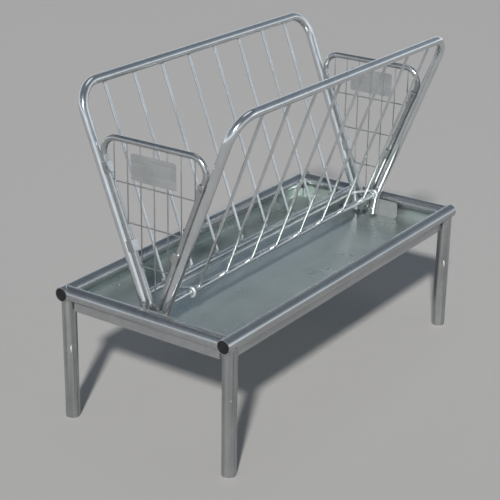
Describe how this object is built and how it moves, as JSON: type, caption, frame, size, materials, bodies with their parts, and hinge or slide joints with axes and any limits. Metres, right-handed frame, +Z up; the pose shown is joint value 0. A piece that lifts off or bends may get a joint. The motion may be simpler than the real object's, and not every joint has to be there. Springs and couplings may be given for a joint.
{
  "type": "hay feeder",
  "caption": "Free-standing tubular hay feeder: sheet tray on sleeved legs, with a V-shaped barred rack over it, meshed end frames and a retaining bail",
  "frame": {"origin": "on the ground, under the middle of the feeder", "axes": "X along the feeder, Y across it, Z up; the near end in the picture is -X and the near side is -Y"},
  "size_m": [1.805, 0.8604, 1.4255],
  "materials": {
    "frame_zinc": "hot-dip galvanised steel tube, mid grey",
    "rack_zinc": "hot-dip galvanised steel tube and rod, bright grey",
    "tray_sheet": "galvanised sheet, satin blue-grey",
    "plate_zinc": "galvanised plate, matt light grey",
    "bolt_zinc": "zinc-plated bolts",
    "cap_plastic": "black moulded tube caps"
  },
  "bodies": {
    "base": {"centre_bolt_left": "bolt_zinc", "centre_bolt_right": "bolt_zinc", "end_badge_left": "plate_zinc", "end_badge_right": "plate_zinc", "end_frame_left": "frame_zinc", "end_frame_right": "frame_zinc", "end_mesh_left": "plate_zinc", "end_mesh_right": "plate_zinc", "end_tube_left": "frame_zinc", "end_tube_right": "frame_zinc", "foot_plate_left": "plate_zinc", "foot_plate_right": "plate_zinc", "leg_back_left": "frame_zinc", "leg_back_right": "frame_zinc", "leg_bolt_back_left": "bolt_zinc", "leg_bolt_back_right": "bolt_zinc", "leg_bolt_front_left": "bolt_zinc", "leg_bolt_front_right": "bolt_zinc", "leg_front_left": "frame_zinc", "leg_front_right": "frame_zinc", "leg_stub_back_left": "frame_zinc", "leg_stub_back_right": "frame_zinc", "leg_stub_front_left": "frame_zinc", "leg_stub_front_right": "frame_zinc", "pivot_bolt_back_left": "bolt_zinc", "pivot_bolt_back_right": "bolt_zinc", "pivot_bolt_front_left": "bolt_zinc", "pivot_bolt_front_right": "bolt_zinc", "side_tube_back": "frame_zinc", "side_tube_front": "frame_zinc", "tray": "tray_sheet", "tube_cap_back_left": "cap_plastic", "tube_cap_back_right": "cap_plastic", "tube_cap_front_left": "cap_plastic", "tube_cap_front_right": "cap_plastic", "upper_clip_back_left": "bolt_zinc", "upper_clip_back_right": "bolt_zinc", "upper_clip_front_left": "bolt_zinc", "upper_clip_front_right": "bolt_zinc"},
    "rack_front": {"rack_bar_front_1": "rack_zinc", "rack_bar_front_2": "rack_zinc", "rack_bar_front_3": "rack_zinc", "rack_bar_front_4": "rack_zinc", "rack_bar_front_5": "rack_zinc", "rack_bar_front_6": "rack_zinc", "rack_bar_front_7": "rack_zinc", "rack_bar_front_8": "rack_zinc", "rack_hoop_front": "rack_zinc", "rack_rail_front": "rack_zinc"},
    "rack_back": {"rack_bar_back_1": "rack_zinc", "rack_bar_back_2": "rack_zinc", "rack_bar_back_3": "rack_zinc", "rack_bar_back_4": "rack_zinc", "rack_bar_back_5": "rack_zinc", "rack_bar_back_6": "rack_zinc", "rack_bar_back_7": "rack_zinc", "rack_bar_back_8": "rack_zinc", "rack_hoop_back": "rack_zinc", "rack_rail_back": "rack_zinc"},
    "bail": {"retaining_bail": "rack_zinc"}
  },
  "joints": [
    {"name": "rack_front_fold", "type": "hinge", "parent": "base", "child": "rack_front", "pos_m": [0, -0.046, 0.525], "axis": [1, 0, 0], "range_deg": [0, 55]},
    {"name": "rack_back_fold", "type": "hinge", "parent": "base", "child": "rack_back", "pos_m": [0, 0.046, 0.525], "axis": [-1, 0, 0], "range_deg": [0, 55]},
    {"name": "bail_swing", "type": "hinge", "parent": "rack_front", "child": "bail", "pos_m": [0, -0.065, 0.6115], "axis": [1, 0, 0], "range_deg": [-65, 100]}
  ]
}
